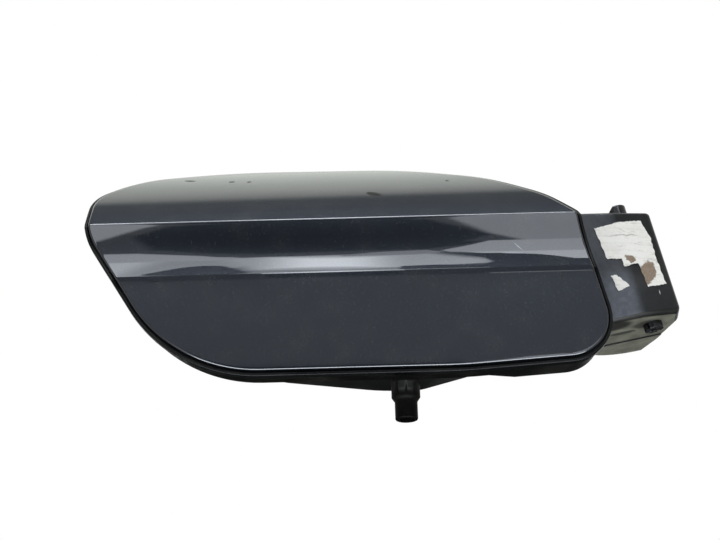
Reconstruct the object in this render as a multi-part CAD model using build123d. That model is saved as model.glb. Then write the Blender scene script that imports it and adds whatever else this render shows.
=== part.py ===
from build123d import *
from math import atan2, cos, degrees, hypot, radians, sin, sqrt
import os

# Door panel section, from the top edge down: crown, crease, cove, soft edge, lower face
crown_radius = 122.0
crown_lean = 25.5
crown_end = 75.0
cove_radius = 32.5
cove_undercut = 28.0
cove_outturn = 17.5
edge_radius = 3.0
foot_lean = 1.5
foot_radius = 1200.0
foot_end = -2.4
# Door panel outline, seen square on: corner across, corner up, corner radius
panel_corners = [
    (-83.6, -71.6, 68.0),
    (45.0, -71.6, 250.0),
    (115.3, -67.2, 19.0),
    (100.9, 0.6, 7.0),
    (87.5, 13.4, 45.0),
    (60.0, 28.8, 90.0),
    (20.0, 38.6, 160.0),
    (-58.0, 40.2, 260.0),
    (-104.0, 33.8, 50.0),
    (-124.6, 18.6, 14.0),
    (-125.4, -3.6, 22.0),
]
skin_thickness = 2.8
skin_round = 0.8
crease_round = 0.9
bond_thickness = 0.6
bond_width = 9.0
bond_inset = 4.0
# Carrier moulding behind the panel
carrier_thickness = 2.5
lip_gap = 0.6
lip_width = 1.6
lip_setback = 1.9
lip_round = 0.5
carrier_rib = 2.0
carrier_rib_height = 3.0
carrier_rib_inset = 21.0
cap_rest_radius = 24.0
cap_rest_back = 24.0
# Filler housing
flange_setback = 10.0
flange_thickness = 2.5
skirt_depth = 7.0
deep_left = 54.0
deep_ramp = 16.0
deep_back = 27.5
deep_top = -30.0
wall = 2.4
pot_front = 8.0
pot_depth = 58.0
gusset_thickness = 2.2
gusset_back = 34.0
gusset_places = [-44.0, -8.0, 28.0, 62.0]
# Mouth and floor of the pot, seen square on: corner across, corner up, corner radius
mouth_corners = [
    (-66.0, -63.5, 30.0),
    (5.0, -66.5, 200.0),
    (40.0, -66.5, 60.0),
    (86.0, -60.0, 30.0),
    (86.0, 23.0, 32.0),
    (-66.0, 23.0, 32.0),
]
base_corners = [
    (-50.0, -59.0, 14.0),
    (8.0, -65.9, 120.0),
    (27.0, -66.2, 24.0),
    (68.0, -55.5, 16.0),
    (68.0, 14.0, 28.0),
    (-42.0, 14.0, 28.0),
]
neck_x = 13.0
neck_z = -24.0
neck_hole_radius = 31.0
neck_screw_reach = 42.0
neck_screw_hole = 2.75
neck_screw_boss = 6.0
neck_boss_height = 3.0
gaiter_bore = 25.0
gaiter_lip = 3.0
gaiter_length = 11.0
gaiter_grip = 5.0
# Drain spout
spout_x = 20.2
spout_y = 47.0
spout_collar_radius = 6.85
spout_collar_end = -72.8
spout_taper_end = -75.0
spout_radius = 5.4
spout_end = -83.8
spout_round = 0.8
spout_bore = 3.6
spout_root = 6.0
# Hinge pocket, laid out across and along the slanted hinge axis
axis_slant = 11.0
hinge_overhang = 24.5
hinge_back = 27.0
face_back = 12.0
ridge_inside = 5.8
edge_outside = 12.2
edge_back = 17.8
side_outside = 14.5
side_back = 32.0
turn_outside = 10.2
turn_back = 51.5
heel_outside = 3.2
slot_width = 11.7
pocket_top = 20.0
cheek_low = -71.0
cheek_step = 0.9
cheek_step_back = 45.0
roof_front = 4.7
roof_rise = 19.0
edge_round = 4.0
turn_round = 20.0
heel_round = 4.0
fold_round = 3.6
roof_round = 2.0
# Arm that carries the door round the body edge to the hinge
arm_inner = 32.0
arm_thickness = 5.0
arm_low = -63.5
arm_high = -24.5
swing_clear = 1.5
hub_radius = 7.0
knuckle_length = 12.0
# Hinge pin
pin_radius = 3.0
pin_clear = 0.08
pin_seat = 0.05
pin_head_radius = 4.5
pin_top = -10.4
pin_round = 0.6
pin_bottom = -74.2
pin_head_ramp = 2.4
pin_slot = 0.9
pin_core = 1.8
# Spring on the pin
spring_wire = 1.6
spring_clear = 0.6
spring_turns = 5
spring_front_leg = 8.0
spring_back_leg = 17.0
# Lock
bolt_back = 30.0
bolt_up = -16.0
bolt_radius = 3.0
bolt_clear = 0.08
guide_seal_width = 2.2
bolt_tip = -52.4
bolt_tail = -86.0
guide_radius = 5.0
guide_boss_length = 1.5
guide_end = -50.6
guide_boss_wall = 1.5
case_left = -96.0
case_right = -67.5
case_front = 23.0
case_depth = 22.0
case_height = 24.0
case_lid = 2.5
case_round = 2.5
plug_height = 9.0
plug_width = 16.0
plug_tall = 10.0
plug_wall = 1.6
blade_apart = 5.0
blade_thickness = 0.8
blade_width = 2.4
blade_root = 1.5
blade_reach = 5.5
lug_reach = 20.0
lug_thickness = 3.0
lug_back = 20.0
lug_radius = 5.0
screw_radius = 1.5
screw_head_radius = 3.2
screw_head_height = 2.2
screw_length = 9.0
driver_cross = 3.6
driver_slot = 0.9
driver_depth = 1.2
# Catch on the door
catch_pad_back = 14.0
catch_pad_margin = 2.0
catch_x = -45.0
catch_thickness = 4.0
catch_width = 17.0
catch_eye = 4.4
catch_foot = 2.0
catch_foot_reach = 11.0
catch_screw_length = 5.0
# Small rubber and paper
buffer_places = [(-93.0, -31.0), (-70.0, -54.0), (94.0, -57.5)]
buffer_radius = 4.5
buffer_stem = 2.0
buffer_gap = 0.2
seal_inset = 1.0
seal_width = 3.6
seal_height = 2.4
seal_break = 6.0
label_thickness = 0.3
label_corners = [
    (107.6, -24.4), (122.7, -23.5), (131.0, -23.7), (133.3, -32.8), (132.8, -43.8), (133.7, -56.7),
    (124.2, -57.4), (123.1, -45.0), (116.2, -46.0), (115.6, -41.8), (109.3, -40.4),
]
scrap_corners = [(108.6, -49.0), (111.0, -49.0), (115.8, -55.6), (109.8, -57.1)]

span = 170.0
far = 90.0


# Place across the hinge axis of a point on the panel outline
def across(x, z):
    return x * cos(radians(axis_slant)) + z * sin(radians(axis_slant))


panel_right = max(across(x, z) for x, z, r in panel_corners)
hinge_across = panel_right + hinge_overhang


# Unit vector out of the panel face, in the section, for a given lean
def outward(lean):
    return (-cos(radians(lean)), sin(radians(lean)))


# Point on a section circle: centre, signed radius and lean
def at(centre, radius, lean):
    out = outward(lean)
    return (centre[0] + radius * out[0], centre[1] + radius * out[1])


crown_centre = at((0.0, 0.0), -crown_radius, crown_lean)
cove_centre = at((0.0, 0.0), cove_radius, -cove_undercut)
cove_foot = at(cove_centre, -cove_radius, cove_outturn)
edge_centre = at(cove_foot, -edge_radius, cove_outturn)
edge_foot = at(edge_centre, edge_radius, foot_lean)
foot_centre = at(edge_foot, -foot_radius, foot_lean)


# Where two section circles cross, the crossing nearest to a given point
def meeting(c1, r1, c2, r2, near):
    dy = c2[0] - c1[0]
    dz = c2[1] - c1[1]
    apart = hypot(dy, dz)
    along = (r1 * r1 - r2 * r2 + apart * apart) / (2 * apart)
    aside = sqrt(max(r1 * r1 - along * along, 0.0))
    my = c1[0] + along * dy / apart
    mz = c1[1] + along * dz / apart
    first = (my - aside * dz / apart, mz + aside * dy / apart)
    second = (my + aside * dz / apart, mz - aside * dy / apart)
    return min(first, second, key=lambda p: hypot(p[0] - near[0], p[1] - near[1]))


# Where the set back crown and cove meet behind the crease
def crease_point(depth):
    return meeting(crown_centre, crown_radius - depth, cove_centre, cove_radius + depth, (0.0, 0.0))


# Lean of the section at a point on a circle that bulges outward, or on one that is hollow
def lean_at(centre, point, hollow):
    dy = point[0] - centre[0]
    dz = point[1] - centre[1]
    return degrees(atan2(-dz, dy)) if hollow else degrees(atan2(dz, -dy))


# Arc of the section between two leans
def section_arc(centre, radius, start, end):
    middle = (start + end) / 2
    return ThreePointArc(at(centre, radius, start), at(centre, radius, middle), at(centre, radius, end))


# Everything in front of the panel face set back by a depth
def ahead(depth):
    r1 = crown_radius - depth
    r2 = -(cove_radius + depth)
    r3 = edge_radius - depth
    r4 = foot_radius - depth
    crease = crease_point(depth)
    crown = section_arc(crown_centre, r1, crown_end, lean_at(crown_centre, crease, False))
    cove_start = lean_at(cove_centre, crease, True)
    if r3 > 0.2:
        cove = section_arc(cove_centre, r2, cove_start, cove_outturn)
        edge = [section_arc(edge_centre, r3, cove_outturn, foot_lean)]
        foot = section_arc(foot_centre, r4, foot_lean, foot_end)
    else:
        corner = meeting(cove_centre, -r2, foot_centre, r4, edge_centre)
        cove = section_arc(cove_centre, r2, cove_start, lean_at(cove_centre, corner, True))
        edge = []
        foot = section_arc(foot_centre, r4, lean_at(foot_centre, corner, False), foot_end)
    top = crown @ 0
    low = foot @ 1
    rest = Polyline((low.X, low.Y), (-far, low.Y), (-far, top.Y), (top.X, top.Y))
    face = Plane.YZ * make_face(Curve() + [crown, cove] + edge + [foot, rest])
    return Pos(-span, 0, 0) * extrude(face, 2 * span, dir=(1, 0, 0))


# Sheet that follows the panel face between two depths
def sheet(front, back):
    return ahead(back) - ahead(front)



# Face inside a closed outline of rounded corners
def rounded_face(corners):
    points = [(x, z) for x, z, r in corners]
    return make_face(FilletPolyline(*points, radius=[r for x, z, r in corners], close=True))


panel_face = rounded_face(panel_corners)


# Prism through the car side with the panel outline grown or shrunk
def prism(grow):
    face = panel_face if grow == 0 else offset(panel_face, amount=grow, kind=Kind.ARC)
    return extrude(Plane.XZ * face, far, both=True)


# Cylinder along Y, from one depth to another
def peg(x, z, radius, front, back):
    return Pos(x, (front + back) / 2, z) * (Rot(90, 0, 0) * Cylinder(radius, back - front))


# Cylinder along X
def bar(y, z, radius, left, right):
    return Pos((left + right) / 2, y, z) * (Rot(0, 90, 0) * Cylinder(radius, right - left))


# Block between two corners
def block(x0, y0, z0, x1, y1, z1):
    return Pos((x0 + x1) / 2, (y0 + y1) / 2, (z0 + z1) / 2) * Box(x1 - x0, y1 - y0, z1 - z0)


# Plane across the hinge axis: local X is across, local Y is back into the car, local Z is up the axis
def hinge_plane(up):
    c = cos(radians(axis_slant))
    s = sin(radians(axis_slant))
    return Plane(origin=(-s * up, 0, c * up), x_dir=(c, 0, s), z_dir=(-s, 0, c))


# Prism along the hinge axis
def along_axis(face, low, high):
    return extrude(hinge_plane(low) * face, high - low, dir=hinge_plane(0).z_dir)


# Cylinder on the hinge axis
def on_axis(radius, low, high):
    return along_axis(Pos(hinge_across, hinge_back) * Circle(radius), low, high)


# Skin, bond and carrier
carrier_front = skin_thickness + bond_thickness
carrier_back = carrier_front + carrier_thickness


# True for an edge straight along the door
def is_level(edge):
    return min(abs((edge % 0.1).X), abs((edge % 0.5).X), abs((edge % 0.9).X)) > 0.9999


# True for an edge round the front of a sheet that is set back by a depth
def is_front_edge(edge, depth):
    middle = edge @ 0.5
    crown_miss = abs(hypot(middle.Y - crown_centre[0], middle.Z - crown_centre[1]) - crown_radius + depth)
    cove_miss = abs(hypot(middle.Y - cove_centre[0], middle.Z - cove_centre[1]) - cove_radius - depth)
    edge_miss = abs(hypot(middle.Y - edge_centre[0], middle.Z - edge_centre[1]) - edge_radius + depth)
    foot_miss = abs(hypot(middle.Y - foot_centre[0], middle.Z - foot_centre[1]) - foot_radius + depth)
    return not is_level(edge) and min(crown_miss, cove_miss, edge_miss, foot_miss) < 0.01


# Sheet with its crease and its front edges rounded
def rounded_sheet(shape, depth, crease_radius, radius):
    corner = crease_point(depth)
    creases = [e for e in shape.edges() if is_level(e)]
    creases = [e for e in creases if hypot((e @ 0.5).Y - corner[0], (e @ 0.5).Z - corner[1]) < 0.01]
    shape = fillet(creases, crease_radius)
    return fillet([e for e in shape.edges() if is_front_edge(e, depth)], radius)


door_skin = rounded_sheet(sheet(0, skin_thickness) & prism(0), 0, crease_round, skin_round)

bond_bead = sheet(skin_thickness, carrier_front) & (prism(-bond_inset) - prism(-bond_inset - bond_width))

carrier = sheet(carrier_front, carrier_back) & prism(lip_gap)
lip = sheet(lip_setback, carrier_back) & (prism(lip_gap + lip_width) - prism(lip_gap))
carrier += rounded_sheet(lip, lip_setback, crease_round, lip_round)
rib_band = prism(-carrier_rib_inset) - prism(-carrier_rib_inset - carrier_rib)
carrier += sheet(carrier_back - 0.5, carrier_back + carrier_rib_height) & rib_band

# Arm: a straight root, a bend round the body edge and a web in to the hinge
arm_outer = arm_inner + arm_thickness
root_front = carrier_front
root = Pos(hinge_across - arm_inner - arm_thickness / 2, (root_front + hinge_back) / 2) * Rectangle(
    arm_thickness, hinge_back - root_front
)
ring = Circle(arm_outer) - Circle(arm_inner)
quarter = Pos(-arm_outer / 2, arm_outer / 2) * Rectangle(arm_outer, arm_outer)
bend = Pos(hinge_across, hinge_back) * (ring & quarter)
web = Pos(hinge_across, hinge_back + arm_outer / 2) * Rectangle(arm_thickness, arm_outer)
arm = along_axis(root + bend + web, arm_low, arm_high)
arm += on_axis(hub_radius, arm_low, arm_high)
spring_low = arm_low + knuckle_length
spring_high = arm_high - knuckle_length
gap_face = Pos(hinge_across, hinge_back) * Rectangle(4 * hub_radius, 3.4 * hub_radius)
arm -= along_axis(gap_face, spring_low, spring_high)
arm -= on_axis(pin_radius + pin_clear, arm_low - 5, arm_high + 5)
arm -= ahead(carrier_front + 0.6)
carrier += arm

# Pad for the catch, rest for the filler cap and holes for the buffers
pad_wide = catch_foot_reach + catch_pad_margin
pad_high = catch_width / 2 + catch_pad_margin
pad_left = catch_x - pad_wide
pad_right = catch_x + pad_wide
pad = block(pad_left, carrier_front, bolt_up - pad_high, pad_right, catch_pad_back, bolt_up + pad_high)
carrier += pad - ahead(carrier_back - 0.5)
cap_ring = Circle(cap_rest_radius) - Circle(cap_rest_radius - carrier_rib)
cap_ring -= Pos(0, cap_rest_radius) * Rectangle(3 * cap_rest_radius, 2 * cap_rest_radius)
cap_rest = extrude(Plane.XZ * Pos(neck_x, neck_z) * cap_ring, -cap_rest_back)
carrier += cap_rest - ahead(carrier_back - 0.5)
for x, z in buffer_places:
    carrier -= peg(x, z, buffer_stem, 0, span)

# Housing: flange, skirt, pot, pocket and spout
mouth = rounded_face(mouth_corners)
base = rounded_face(base_corners)
base_low = min(z for x, z, r in base_corners)
mouth_in = offset(mouth, -wall)
base_in = offset(base, -wall)


# Plane square to the depth of the pot
def depth_plane(depth):
    return Plane(origin=(0, depth, 0), x_dir=(1, 0, 0), z_dir=(0, -1, 0))


pot_outer = loft([depth_plane(pot_front) * mouth, depth_plane(pot_depth) * base])
pot_inner = loft([depth_plane(pot_front) * mouth_in, depth_plane(pot_depth - wall) * base_in])


# Section of the hinge pocket across the axis, with its walls drawn in by an inset
def pocket_section(inset):
    reach = arm_outer + swing_clear + wall - inset
    left = hinge_across - reach
    front = face_back + inset
    back = hinge_back + reach
    points = [
        (left, front),
        (hinge_across - ridge_inside, front),
        (hinge_across + edge_outside - 1.2 * inset, edge_back + 0.8 * inset),
        (hinge_across + side_outside - inset, side_back),
        (hinge_across + turn_outside - inset, turn_back - 0.4 * inset),
        (hinge_across + heel_outside - 0.5 * inset, back),
        (hinge_across, back),
    ]
    bow = reach * sqrt(0.5)
    arc = ThreePointArc((hinge_across, back), (hinge_across - bow, hinge_back + bow), (left, hinge_back))
    lines = Polyline((left, hinge_back), *points)
    return make_face(Curve() + [lines, arc])


roof_out = (0, -sin(radians(roof_rise)), cos(radians(roof_rise)))
roof_plane = Plane(origin=(0, face_back, roof_front), x_dir=(1, 0, 0), z_dir=roof_out)
above_roof = extrude(roof_plane * Rectangle(4 * span, 4 * span), far)
under_roof = Pos(0, 0, -wall / cos(radians(roof_rise))) * above_roof
pocket_face = pocket_section(0)
step_half = Pos(span, cheek_step_back + span) * Rectangle(2 * span, 2 * span)


# Place of a point in the hinge frame: across, back, up
def in_hinge(point):
    c = cos(radians(axis_slant))
    s = sin(radians(axis_slant))
    return (point.X * c + point.Z * s, point.Y, point.Z * c - point.X * s)


# Upright edges of the pocket at one corner of its section
def corner_edges(shape, outside, back):
    found = []
    for e in shape.edges():
        a, b, u = in_hinge(e @ 0.5)
        if hypot(a - hinge_across - outside, b - back) < 0.05 and (e @ 0).Z != (e @ 1).Z:
            found.append(e)
    return found


pocket = along_axis(pocket_face, cheek_low, pocket_top) - above_roof
pocket = fillet(corner_edges(pocket, edge_outside, edge_back), edge_round)
pocket = fillet(corner_edges(pocket, side_outside, side_back), edge_round)
pocket = fillet(corner_edges(pocket, turn_outside, turn_back), turn_round)
heel_back = hinge_back + arm_outer + swing_clear + wall
pocket = fillet(corner_edges(pocket, heel_outside, heel_back), heel_round)


# Edges round a face of the pocket, along its front and its outer side
def outer_edges(face):
    places = [(e, in_hinge(e @ 0.5)) for e in face.edges()]
    return [e for e, p in places if p[0] > hinge_across - arm_outer and p[1] < turn_back]


low_face = pocket.faces().sort_by(lambda f: in_hinge(f.center())[2])[0]
pocket = fillet(outer_edges(low_face), fold_round)
roof_face = pocket.faces().sort_by(lambda f: -abs(f.normal_at().dot(Vector(*roof_out))))[0]
pocket = fillet(outer_edges(roof_face), roof_round)
step_face = pocket_section(fold_round) & step_half
pocket += along_axis(step_face, cheek_low - cheek_step, cheek_low + 1)
hollow = along_axis(pocket_section(wall), cheek_low + wall, pocket_top) - under_roof
slot_left = hinge_across - arm_outer - swing_clear
slot_face = Pos(slot_left + slot_width / 2, hinge_back - far / 2) * Rectangle(slot_width, far)
slot = along_axis(slot_face, cheek_low + wall, pocket_top) - under_roof

housing = sheet(flange_setback, flange_setback + flange_thickness) & prism(0)
skirt_back = flange_setback + flange_thickness + skirt_depth
housing += sheet(flange_setback, skirt_back) & (prism(0) - prism(-wall))
deep_points = [
    (deep_left, flange_setback),
    (deep_left, skirt_back),
    (deep_left + deep_ramp, deep_back),
    (span, deep_back),
    (span, flange_setback),
]
deep_face = Pos(0, 0, deep_top) * make_face(Polyline(deep_points, close=True))
deep_skirt = extrude(deep_face, span, dir=(0, 0, -1)) & (prism(0) - prism(-wall))
housing += deep_skirt - ahead(flange_setback)
housing += pot_outer - ahead(flange_setback)
housing += pocket
collar_top = base_low + spout_root
housing += Pos(spout_x, spout_y, (collar_top + spout_collar_end) / 2) * Cylinder(
    spout_collar_radius, collar_top - spout_collar_end
)
housing += Pos(spout_x, spout_y, (spout_collar_end + spout_taper_end) / 2) * Cone(
    spout_radius, spout_collar_radius, spout_collar_end - spout_taper_end
)
spout = Pos(spout_x, spout_y, (spout_taper_end + spout_end) / 2) * Cylinder(
    spout_radius, spout_taper_end - spout_end
)
housing += fillet(spout.edges().sort_by(Axis.Z)[0], spout_round)
pot_top = max(z for x, z, r in base_corners)
gusset_top = pot_top + gusset_back
gusset_points = [(0, pot_top), (gusset_back, pot_top), (flange_setback, gusset_top), (0, gusset_top)]
gusset_face = make_face(Polyline(gusset_points, close=True))
for x in gusset_places:
    gusset = extrude(Plane.YZ * gusset_face, gusset_thickness / 2, both=True)
    housing += (Pos(x, 0, 0) * gusset & prism(-wall / 2)) - ahead(flange_setback + flange_thickness / 2)
screw_x = (case_left + case_right) / 2
guide_start = case_right + guide_boss_length
neck_seat = pot_depth + neck_boss_height
for side in (-1, 1):
    housing += peg(neck_x + side * neck_screw_reach, neck_z, neck_screw_boss, pot_depth - 1, neck_seat)
    housing += peg(screw_x, bolt_up + side * lug_reach, lug_radius, face_back, lug_back)
housing -= pot_inner
housing -= hollow
housing -= slot
housing -= ahead(flange_setback) & prism(0)
housing -= on_axis(pin_radius + pin_seat, -90, 10)
housing -= peg(neck_x, neck_z, neck_hole_radius, pot_depth - 10, pot_depth + 10)
for side in (-1, 1):
    screw_z = bolt_up + side * lug_reach
    housing -= peg(neck_x + side * neck_screw_reach, neck_z, neck_screw_hole, pot_depth - 10, neck_seat + 1)
    housing -= peg(screw_x, screw_z, screw_radius, lug_back - screw_length + 2, lug_back + 1)
drain_top = collar_top + wall
drain_length = drain_top - spout_end + 2
housing -= Pos(spout_x, spout_y, (drain_top + spout_end) / 2) * Cylinder(spout_bore, drain_length)
housing -= bar(bolt_back, bolt_up, guide_radius, guide_start - 6, guide_end + 6)

# Rubber round the flange, open at the hinge, and the gaiter that grips the filler neck
rim_seal = sheet(flange_setback - seal_height, flange_setback) & (
    prism(-seal_inset) - prism(-seal_inset - seal_width)
)
seal_gap = Pos(slot_left + span, 0) * Rectangle(2 * span, 2 * span)
rim_seal -= along_axis(seal_gap, cheek_low - seal_break, roof_front + seal_break)
floor_front = pot_depth - wall
groove_radius = neck_hole_radius + gaiter_lip
gaiter_outline = Polyline(
    (gaiter_bore + gaiter_lip, floor_front - gaiter_lip),
    (groove_radius, floor_front - gaiter_lip),
    (groove_radius, floor_front),
    (neck_hole_radius, floor_front),
    (neck_hole_radius, pot_depth),
    (groove_radius, pot_depth),
    (groove_radius, pot_depth + gaiter_lip),
    (neck_hole_radius - 0.6, pot_depth + gaiter_lip),
    (gaiter_bore + gaiter_lip, pot_depth + gaiter_length),
    (gaiter_bore, pot_depth + gaiter_length),
    (gaiter_bore, pot_depth + gaiter_length - gaiter_grip),
    (gaiter_bore + gaiter_lip, pot_depth),
    close=True,
)
neck_gaiter = Pos(neck_x, 0, neck_z) * revolve(make_face(gaiter_outline), Axis.Y)

# Hinge pin: ramped head on the roof, split snap end under the lower cheek
across_plane = Plane(
    origin=(0, 0, 0),
    x_dir=(cos(radians(axis_slant)), 0, sin(radians(axis_slant))),
    z_dir=(0, -1, 0),
)
head_left = hinge_across - pin_head_radius
ramp = Polyline(
    (head_left - 1, pin_top - pin_head_ramp - 1),
    (head_left + pin_head_ramp + 1, pin_top + 1),
    (head_left - 1, pin_top + 1),
    close=True,
)
pin_head = (on_axis(pin_head_radius, pin_top - 12, pin_top) & above_roof) - extrude(
    across_plane * make_face(ramp), far, both=True
)
head_face = pin_head.faces().sort_by(lambda f: in_hinge(f.center())[2])[-1]
pin_head = fillet(head_face.edges(), pin_round)
hinge_pin = pin_head + on_axis(pin_radius, cheek_low, pin_top - 1)
hinge_pin += on_axis(pin_head_radius, pin_bottom, cheek_low)
hinge_pin -= on_axis(pin_core, pin_bottom - 1, cheek_low + wall)
for turn in (45, 135):
    cross = Pos(hinge_across, hinge_back) * (Rot(0, 0, turn) * Rectangle(3 * pin_head_radius, pin_slot))
    hinge_pin -= along_axis(cross, pin_bottom - 1, cheek_low + wall)

# Spring round the pin, one leg on the arm and one on the pocket wall
coil_radius = pin_radius + spring_clear + spring_wire / 2
coil_low = spring_low + spring_wire
coil_high = spring_high - spring_wire
coil_path = Helix((coil_high - coil_low) / spring_turns, coil_high - coil_low, coil_radius)
coil_start = Plane(origin=coil_path @ 0, z_dir=coil_path % 0)
coil = sweep(coil_start * Circle(spring_wire / 2), path=coil_path)
wire = spring_wire / 2
front_leg = Pos(coil_radius, -spring_front_leg / 2, 0) * (Rot(90, 0, 0) * Cylinder(wire, spring_front_leg))
back_leg = Pos(coil_radius, spring_back_leg / 2, coil_high - coil_low) * (
    Rot(90, 0, 0) * Cylinder(wire, spring_back_leg)
)
coil += Pos(coil_radius, 0, 0) * Sphere(wire * 1.02)
coil += Pos(coil_radius, 0, coil_high - coil_low) * Sphere(wire * 1.02)
coil += front_leg
coil += back_leg
hinge_spring = hinge_plane(coil_low).location * Pos(hinge_across, hinge_back, 0) * coil

# Lock: case with two lugs, lid with a plug socket, sliding bolt and its guide, screws
case_back = case_front + case_depth
case_low = bolt_up - case_height / 2
case_high = bolt_up + case_height / 2
lug_left = screw_x - lug_radius
lug_right = screw_x + lug_radius
lug_seat = lug_back + lug_thickness
lock_case = block(case_left, case_front, case_low, case_right, case_back, case_high)
lock_case = fillet(lock_case.edges().filter_by(Axis.Y), case_round)
lock_case += block(lug_left, lug_back, bolt_up - lug_reach, lug_right, lug_seat, bolt_up + lug_reach)
for side in (-1, 1):
    lock_case += peg(screw_x, bolt_up + side * lug_reach, lug_radius, lug_back, lug_seat)
lock_case += bar(bolt_back, bolt_up, guide_radius + guide_boss_wall, case_right - 1, guide_start - bolt_clear)
lock_case -= bar(bolt_back, bolt_up, bolt_radius + bolt_clear, bolt_tail - 1, 0)
for side in (-1, 1):
    screw_z = bolt_up + side * lug_reach
    lock_case -= peg(screw_x, screw_z, screw_radius + bolt_clear, lug_back - 1, lug_seat + 1)
lid_back = case_back + case_lid
plug_back = lid_back + plug_height
lock_lid = block(case_left, case_back, case_low, case_right, lid_back, case_high)
lock_lid = fillet(lock_lid.edges().filter_by(Axis.Y), case_round)
plug_x = plug_width / 2
plug_z = plug_tall / 2
plug_low = bolt_up - plug_z
lock_lid += block(screw_x - plug_x, case_back, plug_low, screw_x + plug_x, plug_back, bolt_up + plug_z)
plug_x -= plug_wall
plug_z -= plug_wall
lock_lid -= block(screw_x - plug_x, lid_back, bolt_up - plug_z, screw_x + plug_x, plug_back, bolt_up + plug_z)
blades = []
for side in (-1, 1):
    blade_x = screw_x + side * blade_apart / 2
    low = bolt_up - blade_width / 2
    high = bolt_up + blade_width / 2
    left = blade_x - blade_thickness / 2
    right = blade_x + blade_thickness / 2
    blades.append(block(left, lid_back - blade_root, low, right, lid_back + blade_reach, high))
    lock_lid -= block(left, lid_back - blade_root, low, right, lid_back + blade_reach, high)
plug_blades = Compound(children=blades)
lock_bolt = bar(bolt_back, bolt_up, bolt_radius, bolt_tail, bolt_tip)
lock_bolt = fillet(lock_bolt.edges().sort_by(Axis.X)[-1], 1.2)
bolt_guide = bar(bolt_back, bolt_up, guide_radius, guide_start, guide_end)
bolt_guide -= bar(bolt_back, bolt_up, bolt_radius + bolt_clear, guide_start - 1, guide_end + 1)
guide_seal = bar(bolt_back, bolt_up, guide_radius + guide_seal_width, guide_start, guide_end)
guide_seal -= bar(bolt_back, bolt_up, guide_radius, guide_start - 1, guide_end + 1)
guide_seal -= pot_outer


# Screw along Y with its head at the back, under-head face at a depth
def screw(x, z, seat, length):
    body = peg(x, z, screw_radius, seat - length, seat)
    body += peg(x, z, screw_head_radius, seat, seat + screw_head_height)
    half = driver_cross / 2
    slit = driver_slot / 2
    back = seat + screw_head_height
    cross = block(x - half, back - driver_depth, z - slit, x + half, back, z + slit)
    cross += block(x - slit, back - driver_depth, z - half, x + slit, back, z + half)
    return body - cross


lock_screw_length = lug_thickness + screw_length - 2.5
lock_screws = Compound(
    children=[screw(screw_x, bolt_up + side * lug_reach, lug_seat, lock_screw_length) for side in (-1, 1)]
)

# Catch on the door's pad
foot_back = catch_pad_back + catch_foot
half = catch_width / 2
foot_left = catch_x - catch_foot_reach
foot_right = catch_x + catch_foot_reach
plate_left = catch_x - catch_thickness / 2
plate_right = catch_x + catch_thickness / 2
door_catch = block(foot_left, catch_pad_back, bolt_up - half, foot_right, foot_back, bolt_up + half)
door_catch += block(plate_left, catch_pad_back, bolt_up - half, plate_right, bolt_back, bolt_up + half)
door_catch += bar(bolt_back, bolt_up, half, plate_left, plate_right)
door_catch -= bar(bolt_back, bolt_up, catch_eye, catch_x - 9, catch_x + 9)
catch_screw_x = (catch_thickness / 2 + catch_foot_reach) / 2
for side in (-1, 1):
    hole_x = catch_x + side * catch_screw_x
    door_catch -= peg(hole_x, bolt_up, screw_radius + bolt_clear, catch_pad_back - 1, foot_back + 1)
    carrier -= peg(hole_x, bolt_up, screw_radius, catch_pad_back - catch_screw_length, catch_pad_back + 1)
grip = catch_foot + catch_screw_length - 0.5
catch_screws = Compound(
    children=[screw(catch_x + side * catch_screw_x, bolt_up, foot_back, grip) for side in (-1, 1)]
)

# Rubber buffers between the door and the flange
buffers = []
for x, z in buffer_places:
    pad = peg(x, z, buffer_radius, 0, span) & sheet(carrier_back, flange_setback - buffer_gap)
    buffers.append(pad + (peg(x, z, buffer_stem, 0, span) & sheet(carrier_front + 0.1, carrier_back)))
door_buffers = Compound(children=buffers)

# Torn paper on the pocket's face
face_out = along_axis(pocket_section(-label_thickness), cheek_low, pocket_top)
face_out -= along_axis(pocket_face, cheek_low - 1, pocket_top + 1)


# Paper cut to an outline laid out across and up the hinge axis
def paper(corners):
    return extrude(across_plane * make_face(Polyline(*corners, close=True)), -side_back) & face_out


paper_label = paper(label_corners)
paper_scrap = paper(scrap_corners)

# The origin is midway between the two neck screws, on the seat of their bosses
place = Pos(-neck_x, -neck_seat, -neck_z)
os.makedirs("parts", exist_ok=True)
nodes = {
    "door_skin": door_skin,
    "bond_bead": bond_bead,
    "door_carrier": carrier,
    "door_buffers": door_buffers,
    "door_catch": door_catch,
    "catch_screws": catch_screws,
    "filler_housing": housing,
    "rim_seal": rim_seal,
    "neck_gaiter": neck_gaiter,
    "hinge_pin": hinge_pin,
    "hinge_spring": hinge_spring,
    "lock_case": lock_case,
    "lock_lid": lock_lid,
    "plug_blades": plug_blades,
    "lock_bolt": lock_bolt,
    "bolt_guide": bolt_guide,
    "guide_seal": guide_seal,
    "lock_screws": lock_screws,
    "paper_label": paper_label,
    "paper_scrap": paper_scrap,
}
for name, shape in nodes.items():
    export_step(place * shape, f"parts/{name}.step")
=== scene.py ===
from math import ceil, cos, hypot, pi, radians, sin, sqrt, tan

import bpy
from bpy.props import FloatProperty, FloatVectorProperty, PointerProperty
from mathutils import Matrix, Vector


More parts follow.
